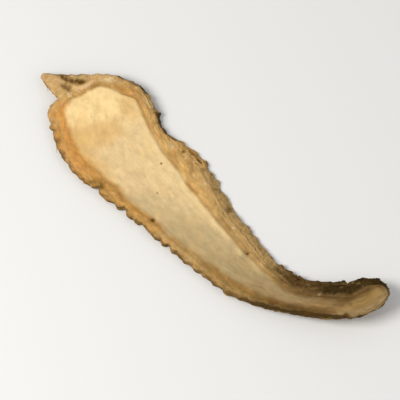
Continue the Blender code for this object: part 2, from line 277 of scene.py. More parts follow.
# Light and dark mottling: pitch on each axis, shift, and the darkest and lightest shade
CORE_MOTTLES = [
    ((2.2, 1.6, 5), 51, 0.93, 1.07), ((0.9, 0.6, 5), 52, 0.96, 1.04), ((1.6, 0.22, 5), 54, 0.975, 1.025),
]
CORTEX_MOTTLES = [((2.2, 2.2, 1.3), 77, 0.86, 1.14), ((1.7, 1.7, 0.32), 78, 0.89, 1.11)]
CORTEX_FINE_MOTTLE = [((0.4, 0.35, 0.4), 80, 0.94, 1.06)]
BARK_MOTTLE = [((0.9, 0.8, 0.9), 91, 0.76, 1.24)]
BARK_WRINKLE_MOTTLE = [((0.8, 0.8, 0.25), 93, 0.86, 1.14)]

# A fibre's bend, as shares of its length along the root and up, and its steps along and round; a
# flake's size, as shares of its length, and its points; and how a crumb is flattened
FIBRE_BEND = {"Start": (-0.2, -0.06), "Middle": (0.5, 0.03), "End": (1, 0.08)}
FIBRE_STEPS = 5
FLAKE = {"Size": (1, 0.5, 0.06), "Vertices X": 5, "Vertices Y": 4, "Vertices Z": 2}
CRUMB_SHAPE = (1.3, 0.9, 0.7)
CRUMB_ROUNDNESS = 2

# The floor's half width, how far it lies below the slice and its roughness; the lights' colour; each
# light's name, width, bearing from the camera and height in degrees, and distance; and the least
# distance that the camera sees, all in metres
FLOOR_HALF = 1.5
FLOOR_DROP = 0.00003
FLOOR_ROUGHNESS = 0.9
WARM_WHITE = (1.0, 0.98, 0.95)
LIGHTS = [("key", 0.25, -75, 48, 0.5), ("fill", 0.5, 60, 40, 0.6)]
NEAREST_SEEN = 0.01


def number(name, description, default, **kind):
    """A setting that is a number."""
    return FloatProperty(name=name, description=description, default=default, **kind)


def length(name, description, default):
    """A setting that is a length, in metres."""
    return number(name, description, default, unit="LENGTH")


def count(name, description, default, least):
    """A setting that is a whole number."""
    return IntProperty(name=name, description=description, default=default, min=least)


def colour(name, description, default):
    """A setting that is a colour."""
    return FloatVectorProperty(name=name, description=description, default=default, subtype="COLOR")


class RootForm(bpy.types.PropertyGroup):
    """Sizes of the slice's fine relief and of what clings to it"""

    side_steps: count("Side steps", "Columns along each side of the slice", 400, 40)
    head_steps: count("Head steps", "Columns round the head end", 172, 12)
    tail_steps: count("Tail steps", "Columns round the tail end", 48, 8)
    lobe_dome: length("Lobe dome", "Rise of each lobe of the near edge", 0.0001)
    grain_height: length("Grain height", "Height of the core's grain", 0.00009)
    check_depth: length("Check depth", "Depth of the drying cracks", 0.00012)
    streak_height: length("Streak height", "Height of the cortex's streaks", 0.00022)
    wrinkle_height: length("Wrinkle height", "Height of the bark's wrinkles", 0.00045)
    crumble_height: length("Crumble height", "Height of the rim's crumbs", 0.0006)
    fibre_length: length("Fibre length", "Length of the longest torn fibres", 0.0024)
    fibre_radius: length("Fibre radius", "Radius of a fibre at its root", 0.00005)
    fibre_density: number("Fibre density", "Fibres on a square metre of rim", 1.4e6, min=0.0)
    flake_size: length("Flake size", "Length of the longest bark flakes", 0.0014)
    flake_density: number("Flake density", "Flakes on a square metre of bark", 8.0e5, min=0.0)
    crumb_size: length("Crumb size", "Width of the largest crumbs", 0.0004)
    crumb_density: number("Crumb density", "Crumbs on a square metre of rim", 2.0e6, min=0.0)
    seed: count("Seed", "Seed of everything scattered or torn", 7, 0)


class RootColours(bpy.types.PropertyGroup):
    """Colours of the slice"""

    core_head: colour("Core at the head", "Warm cream", (0.956, 0.694, 0.332))
    core_warm: colour("Core's warm patches", "Tan cream", (0.745, 0.468, 0.175))
    core_middle: colour("Core in the middle", "Pale cream", (0.823, 0.597, 0.309))
    core_low: colour("Core past the middle", "Greyish cream", (0.624, 0.462, 0.235))
    # The core's colours towards the tail are partly painted shade
    core_lower: colour("Core towards the tail", "Greyish tan", (0.423, 0.305, 0.147))
    core_tail: colour("Core at the tail", "Pinkish grey tan", (0.352, 0.235, 0.107))
    core_end: colour("Core's last stretch", "Brown", (0.216, 0.12, 0.0395))
    core_grey: colour("Core's grey", "Grey green of faint patches", (0.479, 0.402, 0.195))
    lip: colour("Lip", "Pale line at the core's edge", (0.905, 0.672, 0.332))
    cambium: colour("Cambium", "Brown line round the core", (0.352, 0.168, 0.0369))
    near_cortex: colour("Near cortex", "Orange brown", (0.617, 0.296, 0.0723))
    far_cortex: colour("Far cortex", "Ochre", (0.651, 0.397, 0.136))
    brown_cortex: colour("Brown cortex", "Dull orange brown", (0.515, 0.275, 0.0723))
    low_cortex: colour("Cortex past the middle", "Dull tan", (0.468, 0.301, 0.114))
    # The tail's dark brown cortex is partly painted shade
    tail_cortex: colour("Cortex at the tail", "Dark brown", (0.127, 0.0685, 0.0185))
    pale_rim: colour("Pale rim", "Tan of the outer cortex", (0.604, 0.386, 0.15))
    flush: colour("Flush", "Reddish patches of the cortex", (0.552, 0.27, 0.0887))
    ridge: colour("Ridge", "Pinkish cream of the ear's ridge", (0.839, 0.558, 0.287))
    # The bark's dark olive brown is partly painted shade, as on the tail's shaded flank
    bark: colour("Bark", "Dark olive brown", (0.0482, 0.0262, 0.00439))
    worn_bark: colour("Worn bark", "Brown tan of worn bark", (0.305, 0.184, 0.0578))
    spot: colour("Spot", "Olive brown of pits and spots", (0.107, 0.0497, 0.00439))
    speck: colour("Speck", "Cream of pale specks", (0.871, 0.672, 0.381))


class RootStage(bpy.types.PropertyGroup):
    """The floor, the lights and the camera"""

    floor_colour: colour("Floor", "Pale floor", (0.86, 0.86, 0.85))
    azimuth: number("Azimuth", "Bearing of the camera", math.radians(40), subtype="ANGLE")
    elevation: number("Elevation", "Height of the camera", math.radians(66), subtype="ANGLE")
    frame_width: length("Frame width", "Width that the picture takes in", 0.086)
    focal_length: number("Focal length", "Focal length in millimetres", 350.0)
    key_power: number("Key power", "Power of the main light", 1.9, subtype="POWER")
    fill_power: number("Fill power", "Power of the second light", 0.5, subtype="POWER")
    surround: number("Surround", "Brightness of the surround", 0.4)


def through(rows, at):
    """The rows' other columns where the first has the values at, on a smooth curve through them."""
    table = np.array(rows, dtype=float)
    known, values = table[:, 0], table[:, 1:]
    slopes = np.gradient(values, known, axis=0)
    i = np.clip(np.searchsorted(known, at, side="right") - 1, 0, len(known) - 2)
    gap = (known[i + 1] - known[i])[:, None]
    t = (at - known[i])[:, None] / gap
    start = (1 + 2 * t) * (1 - t) ** 2 * values[i] + t * (1 - t) ** 2 * gap * slopes[i]
    end = t * t * (3 - 2 * t) * values[i + 1] + t * t * (t - 1) * gap * slopes[i + 1]
    return (start + end).T


def bumps(pitch, a, b=0, layer=0):
    """Smooth noise between -1 and 1 at each pair of values, with bumps about pitch apart."""
    pairs = np.broadcast(a, b)
    values = [noise.noise(Vector((u / pitch, v / pitch, layer))) for u, v in pairs]
    return np.array(values).reshape(pairs.shape)


def with_distance(points):
    """Rows of a path, each with its distance from the start in front."""
    table = np.array(points, dtype=float)
    steps = np.hypot(*np.diff(table[:, :2], axis=0).T)
    return np.column_stack([np.concatenate([[0], np.cumsum(steps)]), table])


def columns_round_the_slice(form):
    """The places where the slice is cut, anticlockwise from the near side of the head.

    Each column leaves the middle line at a distance from the head, on a bearing from it.
    """
    path = with_distance(MIDDLE_LINE)
    length = path[-1, 0]
    side = np.linspace(0, length, form.side_steps + 1)
    tail = np.linspace(-90, 90, form.tail_steps + 1)[1:-1]
    head = np.linspace(90, 270, form.head_steps + 1)[1:-1]
    distance = np.concatenate([side, np.full(len(tail), length), side[::-1], np.zeros(len(head))])
    bearing = np.concatenate([np.full(len(side), -90), tail, np.full(len(side), 90), head])
    x, y, lift, twist, thickness, keel = through(path, distance)
    beyond, before = through(path, distance + SLOPE_REACH), through(path, distance - SLOPE_REACH)
    return SimpleNamespace(
        distance=distance, bearing=bearing, x=x, y=y, lift=lift, thickness=thickness,
        base=np.rint(distance / length * form.side_steps).astype(int),
        along=np.cos(np.radians(bearing)),
        across=np.sin(np.radians(bearing)),
        ahead=(beyond - before)[:3] / (2 * SLOPE_REACH),
        twist=np.tan(np.radians(twist)),
        underside=KEEL_RISE * keel * thickness,
    )


def set_widths(columns):
    """Give each column the width of its core, cortex and bark."""
    core, near, far, far_bark = through(WIDTHS, columns.distance)
    length = columns.distance.max()
    near_bark = -NEAR_UNDERCUT * np.clip(1 - columns.distance / length, UNDERCUT_LEFT, 1)
    on_far = columns.bearing > 0
    widths = np.array([core, np.where(on_far, far, near), np.where(on_far, far_bark, near_bark)])
    round_tail = (columns.distance == length) & (abs(columns.bearing) < 90)
    round_head = (columns.distance == 0) & (columns.bearing > 90)
    for rows, turned in ((TAIL_END, round_tail), (HEAD_END, round_head)):
        there = np.flatnonzero(turned)
        before, after = there[0] - 1, (there[-1] + 1) % len(turned)
        last = columns.bearing[before] + 180
        ends = [(columns.bearing[before], *widths[:, before]), *rows, (last, *widths[:, after])]
        widths[:, turned] = through(ends, columns.bearing[turned])
    core, cortex, columns.bark = widths
    edge = place(columns, core, 0)
    room = np.clip(cortex / FULL_CORTEX, LEAST_ROOM, 1)
    wander = CORE_WANDER * room * bumps(CORE_WANDER_PITCH, edge[:, 0], edge[:, 1], LAYER_CORE)
    columns.core, columns.cortex = core + wander, cortex - wander


def roughen_edge(columns):
    """Scallop and notch the near edge and fray the rest."""
    edge = place(columns, columns.core + columns.cortex, 0)
    rim = np.cumsum(np.linalg.norm(np.diff(edge, axis=0, prepend=edge[:1]), axis=1))
    near = np.clip(-1.5 * columns.across, 0, 1)
    room = np.clip(columns.cortex / FULL_CORTEX, LEAST_ROOM, 1)
    wander = SCALLOP_WANDER * bumps(SCALLOP_WANDER_PITCH, rim, LAYER_SCALLOP)
    lobe = abs(np.sin(math.pi * (rim / SCALLOP_PITCH + wander)))
    strength = SCALLOP_LEAST + SCALLOP_SPREAD * abs(bumps(SCALLOP_SPREAD_PITCH, rim, LAYER_SPREAD))
    left = np.clip((SCALLOPS_END - columns.distance) / SCALLOPS_FADE, SCALLOPS_LEFT, 1)
    left = left * np.clip(columns.distance / SCALLOPS_START, SCALLOPS_AT_HEAD, 1)
    scallop = SCALLOP_DEPTH * strength * left * (lobe - SCALLOP_MIDDLE)
    torn = sum(
        depth * np.exp(-((2 * (columns.distance - at) / width) ** 2)) for at, depth, width in NOTCHES
    )
    frayed = FRAY * bumps(FRAY_PITCH, rim) + FINE_FRAY * bumps(FINE_FRAY_PITCH, rim, LAYER_FINE)
    columns.cortex = columns.cortex + room * (near * (scallop - torn) + frayed)
    columns.bark = columns.bark + BARK_FRAY * (1 - near) * bumps(FRAY_PITCH, rim, LAYER_BARK_FRAY)
    columns.rim = rim
    columns.dome = near * strength * left * (lobe - SCALLOP_MIDDLE)
    columns.roll = (rim[-1] + np.linalg.norm(edge[-1] - edge[0])) / math.tau


def face_profile(columns):
    """The reach and height of the cut face's points, outward from the middle line."""
    core, cortex, top = columns.core, columns.cortex, columns.thickness
    lip = core - np.minimum(LIP_INSET, 0.25 * core)
    rise = LIP_HEIGHT * np.interp(columns.across, LIP_TURN, (0, 1))
    rise = rise * np.clip((LIP_END - columns.distance) / LIP_FADE, 0, 1)
    groove = core + np.minimum(GROOVE_OFFSET, 0.3 * cortex)
    rest = core + cortex - groove
    depth = GROOVE_DEPTH * np.interp(columns.across, GROOVE_TURN, (GROOVE_LEFT, 1))
    depth = depth * np.clip(cortex / FULL_CORTEX, LEAST_ROOM, 1)
    return [
        (0 * core, top + CROWN),
        (0.3 * lip, top + CROWN),
        (0.55 * lip, top + 0.8 * CROWN),
        (0.8 * lip, top + 0.4 * CROWN),
        (lip, top + rise),
        (0.4 * lip + 0.6 * core, top + rise),
        (groove, top - depth),
        (groove + 0.2 * rest, top - 0.3 * depth),
        (groove + 0.45 * rest, top - 0.3 * CORTEX_SAG),
        (groove + 0.7 * rest, top - 0.8 * CORTEX_SAG),
        (groove + 0.9 * rest, top - CORTEX_SAG),
        (groove + rest, top - EDGE_DROP),
    ]


def bark_profile(columns):
    """The reach and height of the bark's points, from the cut edge down to the underside."""
    edge, bark, top = columns.core + columns.cortex, columns.bark, columns.thickness
    under = columns.underside
    return [
        (edge, top - EDGE_DROP),
        (edge + 0.3 * bark, 0.66 * top),
        (edge + 0.7 * bark, 0.48 * top),
        (edge + 0.95 * bark, 0.3 * top),
        (edge + bark - 0.3 * UNDER_CHAMFER, 0.14 * top + 0.8 * under),
        (edge + bark - UNDER_CHAMFER, under),
    ]


def under_profile(columns):
    """The reach and height of the underside's points, inward to the middle line."""
    core, under = columns.core, columns.underside
    turn = core + columns.cortex + columns.bark - UNDER_CHAMFER
    return [
        (turn, under),
        (0.4 * core + 0.6 * turn, 0.4 * under),
        (0.9 * core, 0.1 * under),
        (0.45 * core, 0 * under),
        (0 * core, 0 * under),
    ]


def finer(profile, at):
    """The reach and the height of rings at places between a profile's points, by their number."""
    point_numbers = np.arange(len(profile))
    return [through(np.column_stack([point_numbers, rows]), at).T for rows in zip(*profile)]


def place(columns, out, height):
    """The points of each column at a reach out from the middle line."""
    along, across = out * columns.along, out * columns.across
    ahead_x, ahead_y, climb = columns.ahead
    x = columns.x + ahead_x * along - ahead_y * across
    y = columns.y + ahead_y * along + ahead_x * across
    z = columns.lift + climb * along + columns.twist * across + height
    return np.stack([x, y, z], axis=-1)


def near_spots(rows, along, across):
    """The sum, over a table's rows, of each row's last number faded out over its radius."""
    total = np.zeros(np.broadcast(along, across).shape)
    for at, far, radius, amount in rows:
        total += amount * np.exp(-((along - at) ** 2 + (across - far) ** 2) / radius**2)
    return total


def weathered(columns, out, height):
    """The height of the upper side with its ear thinned, its face wavy and its pits sunk."""
    along, across = columns.distance + out * columns.along, out * columns.across
    height = height * (1 - EAR_THINNING * np.clip(out - EAR_ROOT, 0, None))
    height = height + FACE_WAVE * bumps(FACE_WAVE_PITCH, along, across, LAYER_WAVE)
    return height - near_spots(PITS, along, across) + near_spots(RIDGE, along, across)


def all_rings(columns, form):
    """Every ring from the middle line over the face, down the bark and back under.

    The results are the points and the reach of each ring and column, and then each ring's share
    down the bark and whether it is the underside.
    """
    face_at = np.concatenate([
        np.linspace(0, CORE_END, CORE_RINGS + 1),
        np.linspace(CORE_END, GROOVE_END, GROOVE_RINGS + 1)[1:],
        np.linspace(GROOVE_END, FACE_END, CORTEX_RINGS + 1)[1:],
    ])
    bark_at = np.linspace(0, BARK_END, BARK_RINGS + 1)[1:]
    under_at = np.linspace(0, UNDER_END, UNDER_RINGS + 1)[1:]
    face, face_height = finer(face_profile(columns), face_at)
    bark, bark_height = finer(bark_profile(columns), bark_at)
    under, under_height = finer(under_profile(columns), under_at)
    share = np.clip((face - columns.core) / columns.cortex, 0, 1)
    face_height = weathered(columns, face, face_height) + form.lobe_dome / MM * columns.dome * share**2
    ridged = bark + BARK_RIDGE * bumps(BARK_RIDGE_PITCH, columns.rim, bark_at[:, None] - 1, LAYER_RIDGE)
    points = np.concatenate([
        place(columns, face, face_height),
        place(columns, ridged, weathered(columns, bark, bark_height)),
        place(columns, under, under_height),
    ])
    points[..., 2] = np.maximum(points[..., 2], 0)
    down = np.concatenate([0 * face_at, bark_at / BARK_END, np.ones(UNDER_RINGS)])
    below = np.concatenate([0 * face_at, 0 * bark_at, np.ones(UNDER_RINGS)])
    return points, np.concatenate([face, bark, under]), down[:, None], below[:, None]


def vertex_numbers(columns, rings, middle):
    """The vertex of each ring and column. The first and last rings are the middle line, shared."""
    count_round = len(columns.base)
    between = middle + np.arange((rings - 2) * count_round).reshape(rings - 2, count_round)
    last = middle + between.size + columns.base
    return np.vstack([columns.base, between, last])


def slice_mesh(form):
    """The slice as one closed mesh, with the attributes that its relief and finish read."""
    columns = columns_round_the_slice(form)
    set_widths(columns)
    roughen_edge(columns)
    points, reach, down, below = all_rings(columns, form)
    low, high = points[..., :2].min((0, 1)), points[..., :2].max((0, 1))
    middle_of_box = np.array((CAD_BOX[0] + CAD_BOX[1]) / 2)[:2] / MM
    points[..., :2] += middle_of_box - (low + high) / 2
    numbers = vertex_numbers(columns, len(points), form.side_steps + 1)
    inner, outer = numbers[:-1], numbers[1:]
    quads = np.stack([inner, outer, np.roll(outer, -1, 1), np.roll(inner, -1, 1)], -1).reshape(-1, 4)
    faces = [list(dict.fromkeys(quad)) for quad in quads.tolist()]
    vertices = np.zeros((numbers.max() + 1, 3))
    vertices[numbers] = points * MM
    mesh = bpy.data.meshes.new("cut_slice")
    mesh.from_pydata(vertices, [], faces)
    mesh.shade_smooth()
    store_places(mesh, numbers, columns, points[..., 2], reach, down, below)
    return mesh


def store_places(mesh, numbers, columns, height, reach, down, below):
    """Store where each point lies on the slice, which marks it carries and which way is ahead."""
    along, across = columns.distance + reach * columns.along, reach * columns.across
    past_core = reach - columns.core
    share = np.clip(past_core / columns.cortex, 0, 1)
    far = np.clip(0.5 + columns.across, 0, 1)
    open_side = np.interp(columns.across, GROOVE_TURN, (0, 1))
    turn = columns.rim / columns.roll
    roll_x, roll_y = columns.roll * np.cos(turn), columns.roll * np.sin(turn)
    marks = [(1 - below) * near_spots(rows, along, across) for rows in (SPOTS_AND_SHADOWS, SPECKS_AND_HIGHLIGHTS, RIDGE)]
    marks[2] = marks[2] / max(row[-1] for row in RIDGE)
    put(mesh, numbers, "grain_place", along, across, height)
    put(mesh, numbers, "rim_place", roll_x, roll_y, past_core - height)
    put(mesh, numbers, "zone", past_core, share, down)
    put(mesh, numbers, "side", far, below, open_side)
    put(mesh, numbers, "marks", *marks)
    put(mesh, numbers, "ahead", *columns.ahead)


def put(mesh, numbers, name, *values):
    """Store three values of each ring and column as a point attribute."""
    flat = np.zeros((len(mesh.vertices), 3))
    flat[numbers] = np.stack(np.broadcast_arrays(*values, 0 * numbers)[:3], -1)
    attribute = mesh.attributes.new(name, "FLOAT_VECTOR", "POINT")
    attribute.data.foreach_set("vector", flat.ravel())


# From here to the operators, bare numbers are millimetres on the slice, shares from 0 to 1, and the
# shifts and seeds that keep one noise apart from the next.


class Value:
    """An output in a node tree. The usual signs between values add the nodes that work them out."""

    def __init__(self, socket):
        self.socket = socket
        self.tree = socket.id_data

    def __add__(self, other):
        return worked("ADD", self, other)

    def __radd__(self, other):
        return worked("ADD", other, self)

    def __sub__(self, other):
        return worked("SUBTRACT", self, other)

    def __rsub__(self, other):
        return worked("SUBTRACT", other, self)

    def __mul__(self, other):
        return worked("MULTIPLY", self, other)

    def __rmul__(self, other):
        return worked("MULTIPLY", other, self)

    def beside(self, name):
        """Another output of the same node."""
        return Value(self.socket.node.outputs[name])


def set_inputs(node, inputs):
    """Link or set a node's inputs, given by name or by number."""
    for key, value in inputs.items():
        named = [socket for socket in node.inputs if socket.enabled and socket.name == key]
        socket = named[0] if named else node.inputs[key]
        if isinstance(value, Value):
            value.tree.links.new(value.socket, socket)
        else:
            socket.default_value = value


def add(tree, kind, inputs=None, output=None, **settings):
    """An output of a new node, by its name, or else the first one in use."""
    node = tree.nodes.new(kind)
    for name, value in settings.items():
        setattr(node, name, value)
    set_inputs(node, inputs or {})
    return Value(node.outputs[output] if output else next(s for s in node.outputs if s.enabled))


def worked(operation, *values):
    """The result of one sum, in the tree of the values."""
    tree = next(value.tree for value in values if isinstance(value, Value))
    return add(tree, "ShaderNodeMath", dict(enumerate(values)), operation=operation)


def largest(first, *others):
    """The largest of several values."""
    for other in others:
        first = worked("MAXIMUM", first, other)
    return first


def vectors(operation, a, b):
    """The result of one sum of vectors."""
    return add(a.tree, "ShaderNodeVectorMath", {0: a, 1: b}, operation=operation)


def scaled(vector, amount):
    """A vector or a colour times an amount."""
    return add(vector.tree, "ShaderNodeVectorMath", {0: vector, "Scale": amount}, operation="SCALE")


def parts(vector):
    """The three numbers of a vector."""
    x = add(vector.tree, "ShaderNodeSeparateXYZ", {0: vector})
    return x, x.beside("Y"), x.beside("Z")


def vector_of(tree, x, y, z):
    """A vector of three numbers."""
    return add(tree, "ShaderNodeCombineXYZ", {0: x, 1: y, 2: z})


def fade(value, start, end, low=0, high=1):
    """From low at the start to high at the end, smoothly, and level outside them."""
    inputs = {"Value": value, "From Min": start, "From Max": end, "To Min": low, "To Max": high}
    return add(value.tree, "ShaderNodeMapRange", inputs, interpolation_type="SMOOTHSTEP")


def line(value, middle, half_width):
    """1 at the middle, falling smoothly to 0 at half a width from it."""
    return fade(worked("ABSOLUTE", value - middle), half_width, 0)


def hills(value, rows):
    """The sum of smooth hills, each given by its middle, half its width and its height."""
    first, *others = [height * line(value, middle, half_width) for middle, half_width, height in rows]
    return sum(others, first)


def stretched(vector, pitches, shift):
    """A place divided by a pitch on each axis, and shifted."""
    inputs = {0: vector, 1: [1.0 / pitch for pitch in pitches], 2: (shift, 0.5 * shift, 0.25 * shift)}
    return add(vector.tree, "ShaderNodeVectorMath", inputs, operation="MULTIPLY_ADD")


def clouds(vector, pitches, shift, detail=2, rough=0.5):
    """Smooth noise from 0 to 1, with a pitch on each axis."""
    inputs = {"Vector": stretched(vector, pitches, shift), "Scale": 1, "Detail": detail, "Roughness": rough}
    return add(vector.tree, "ShaderNodeTexNoise", inputs)


def patches(vector, pitches, shift, start, end, detail=3):
    """Patches of 1 on 0, where the noise rises from the start to the end."""
    return fade(clouds(vector, pitches, shift, detail), start, end)


def cracks(vector, pitches, shift, half_width):
    """1 on thin wandering lines, where the noise passes its middle, and 0 between them."""
    return line(clouds(vector, pitches, shift, 1.5), 0.5, half_width)


def dots(vector, pitches, shift, size):
    """1 in the middle of scattered dots, falling to 0 at their rim."""
    inputs = {"Vector": stretched(vector, pitches, shift), "Scale": 1, "Randomness": 1}
    return fade(add(vector.tree, "ShaderNodeTexVoronoi", inputs, "Distance", feature="F1"), size, 0)


def random(tree, low, high, seed, kind="FLOAT"):
    """A random number, or a random vector, for each point or copy."""
    return add(tree, "FunctionNodeRandomValue", {"Min": low, "Max": high, "Seed": seed}, data_type=kind)


def mix(share, a, b):
    """One colour turned into another by a share."""
    a, b = [shade if isinstance(shade, Value) else (*shade, 1.0) for shade in (a, b)]
    return add(share.tree, "ShaderNodeMix", {"Factor": share, "A": a, "B": b}, data_type="RGBA")


def mottled(base, vector, rows):
    """A colour made darker and lighter in soft patches, one layer for each row."""
    for pitches, shift, low, high in rows:
        base = scaled(base, fade(clouds(vector, pitches, shift, 3), 0.3, 0.7, low, high))
    return base


def stained(base, colours, vector, rows, strength=1):
    """A colour with soft stains, one layer for each row."""
    for share, stain, *patch in rows:
        base = mix(share * patches(vector, *patch) * strength, base, getattr(colours, stain))
    return base


def ramp(value, colours, stops):
    """The colour at a value among stops, each a value and a colour's name, blended between them."""
    start, end = stops[0][0], stops[-1][0]
    share = add(value.tree, "ShaderNodeMapRange", {"Value": value, "From Min": start, "From Max": end})
    blended = add(value.tree, "ShaderNodeValToRGB", {"Fac": share})
    elements = blended.socket.node.color_ramp.elements
    elements.remove(elements[1])
    elements[0].color = (*getattr(colours, stops[0][1]), 1.0)
    for at, name in stops[1:]:
        elements.new((at - start) / (end - start)).color = (*getattr(colours, name), 1.0)
    return blended


def read(tree, name):
    """A vector attribute of the mesh."""
    if tree.bl_idname == "GeometryNodeTree":
        return add(tree, "GeometryNodeInputNamedAttribute", {"Name": name}, data_type="FLOAT_VECTOR")
    return add(tree, "ShaderNodeAttribute", output="Vector", attribute_name=name)


def places(tree, names=tuple(ATTRIBUTES)):
    """The numbers that the mesh's attributes hold for a point, each by its own name."""
    at = SimpleNamespace(grain=read(tree, "grain_place"), rim=read(tree, "rim_place"))
    for name in names:
        vars(at).update(zip(ATTRIBUTES[name], parts(read(tree, name))))
    at.near, at.above = 1 - at.far, 1 - at.below
    return at


def run_tree(piece, fill, values):
    """Run a piece's mesh through a tree, and keep the result as its plain mesh.

    The tree has an input for each value, and is filled by a function that gives back its geometry.
    """
    kinds = {float: "NodeSocketFloat", int: "NodeSocketInt", bpy.types.Material: "NodeSocketMaterial"}
    tree = bpy.data.node_groups.new(piece.name, "GeometryNodeTree")
    tree.interface.new_socket("Geometry", in_out="INPUT", socket_type="NodeSocketGeometry")
    tree.interface.new_socket("Geometry", in_out="OUTPUT", socket_type="NodeSocketGeometry")
    identifiers = {}
    for name, value in values.items():
        socket = tree.interface.new_socket(name, in_out="INPUT", socket_type=kinds[type(value)])
        identifiers[name] = socket.identifier
    given = {name: Value(socket) for name, socket in tree.nodes.new("NodeGroupInput").outputs.items()}
    real = add(tree, "GeometryNodeRealizeInstances", {"Geometry": fill(tree, given)})
    done = add(tree, "GeometryNodeSetMaterial", {"Geometry": real, "Material": given["Material"]})
    set_inputs(tree.nodes.new("NodeGroupOutput"), {"Geometry": done})

    modifier = piece.modifiers.new(tree.name, "NODES")
    modifier.node_group = tree
    for name, value in values.items():
        modifier[identifiers[name]] = value
    bpy.context.view_layer.update()
    depsgraph = bpy.context.evaluated_depsgraph_get()
    evaluated = piece.evaluated_get(depsgraph)
    made = bpy.data.meshes.new_from_object(evaluated, preserve_all_data_layers=True, depsgraph=depsgraph)
    piece.modifiers.clear()
    piece.data = made
    made.name = piece.name


def keep_in_box(mesh):
    """Press in the few points that stand out of the frame's box."""
    points = np.zeros(len(mesh.vertices) * 3)
    mesh.vertices.foreach_get("co", points)
    points = points.reshape(-1, 3).clip(np.array(CAD_BOX[0]), np.array(CAD_BOX[1]))
    mesh.vertices.foreach_set("co", points.ravel())
    mesh.update()


def make_piece(context, name, mesh, fill, sizes, material):
    """A piece that a tree makes from a mesh. It rides on the root's body."""
    form = context.scene.root_form
    piece = bpy.data.objects.new(name, mesh)
    context.collection.objects.link(piece)
    given = {size: getattr(form, size) for size in sizes}
    run_tree(piece, fill, {**given, "Seed": form.seed, "Material": material})
    keep_in_box(piece.data)
    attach(piece, BODY)
    return piece


def grain_on(grain_place):
    """The height of the core's grain: ridges along the root, and lumps between them."""
    return (
        0.6 * clouds(grain_place, (7, 0.5, 9), 1)
        + 0.7 * clouds(grain_place, (2.4, 1.1, 9), 5, 3)
        + 0.7 * clouds(grain_place, (1.3, 1.2, 9), 7)
        - 1
    )


def streaks_on(rim_place):
    """The height of the cortex's streaks, which run round the rim, and of the lumps between them."""
    return (
        clouds(rim_place, (4.5, 4.5, 0.7), 11)
        + 0.8 * clouds(rim_place, (1.3, 1.3, 0.9), 15, 3)
        + clouds(rim_place, (2.2, 2.2, 1.7), 19)
        - 1.4
    )


def drying_cracks(at, grain_place, rim_place):
    """1 in the cracks that run along the face, and in those that run round the rim."""
    checks = cracks(grain_place, (14, 2.2, 9), 9, 0.018) * patches(grain_place, (8, 4, 9), 13, 0.58, 0.68)
    fissures = cracks(rim_place, (3.2, 3.2, 1.3), 17, 0.03) * patches(grain_place, (3, 3, 3), 23, 0.5, 0.6)
    return largest(checks * fade(at.down, 0.3, 0), fissures * fade(at.share, 0.3, 0.8))


def weathered_slice(tree, given):
    """The slice with its grain, drying cracks, streaks, wrinkles and crumbling rim raised."""
    at = places(tree, ("grain_place", "zone", "side"))
    grain_place = vectors("ADD", at.grain, given["Seed"])
    rim_place = vectors("ADD", at.rim, given["Seed"])
    on_core = fade(at.past_core, 0.3, -0.5)
    on_cortex = fade(at.past_core, 0.2, 1)
    on_bark = fade(at.down, 0, 0.12) * at.above
    smooth_head = fade(at.along, 0, 14, 0.4, 1)
    torn = drying_cracks(at, grain_place, rim_place)
    wrinkles = clouds(rim_place, (5, 5, 0.9), 29, 3) + 0.6 * clouds(rim_place, (0.9, 0.9, 2.5), 31, 3) - 0.8
    crumbs = clouds(grain_place, (1.5, 1.2, 1.2), 37, 4, 0.65) - 0.5
    crumbly = fade(at.share, 0.1, 0.6) * fade(at.far, 0.2, 0.9, 0.55, 1)
    upper = (
        given["grain_height"] * grain_on(grain_place) * on_core * smooth_head
        + given["streak_height"] * streaks_on(rim_place) * on_cortex * (1 - on_bark)
        - given["check_depth"] * torn
        + given["wrinkle_height"] * wrinkles * on_bark
        + given["crumble_height"] * crumbs * crumbly
    )
    hollows = clouds(grain_place, (5, 0.6, 9), 33, 3)
    under = -2 * given["grain_height"] * largest(hollows, 0)
    rise = upper * at.above + under * at.below
    offset = scaled(add(tree, "GeometryNodeInputNormal"), rise)
    moved = add(tree, "GeometryNodeSetPosition", {"Geometry": given["Geometry"], "Offset": offset})
    relief = {"Geometry": moved, "Name": "relief", "Value": vector_of(tree, torn, wrinkles, crumbs)}
    return add(tree, "GeometryNodeStoreNamedAttribute", relief, data_type="FLOAT_VECTOR", domain="POINT")


def strewn(tree, given, density_here, shape, tilt, smallest):
    """Copies of a small shape, each turned, sized and toned at random."""
    field = {"Mesh": given["Geometry"], "Density": density_here, "Seed": given["Seed"]}
    spread = add(tree, "GeometryNodeDistributePointsOnFaces", field)
    wild = random(tree, (-tilt, -tilt, -tilt), (tilt, tilt, tilt), 1, "FLOAT_VECTOR")
    up = vectors("ADD", spread.beside("Normal"), wild)
    ahead = vectors("ADD", read(tree, "ahead"), wild)
    standing = add(tree, "FunctionNodeAlignRotationToVector", {"Vector": up}, axis="Z")
    heading = {"Rotation": standing, "Vector": ahead}
    turned = add(tree, "FunctionNodeAlignRotationToVector", heading, axis="X", pivot_axis="Z")
    size = random(tree, smallest, 1, 3)
    how = {"Points": spread, "Instance": shape, "Rotation": turned, "Scale": size}
    copies = add(tree, "GeometryNodeInstanceOnPoints", how)
    tone = {"Geometry": copies, "Name": "tone", "Value": random(tree, 0, 1, 5)}
    return add(tree, "GeometryNodeStoreNamedAttribute", tone, data_type="FLOAT", domain="INSTANCE")


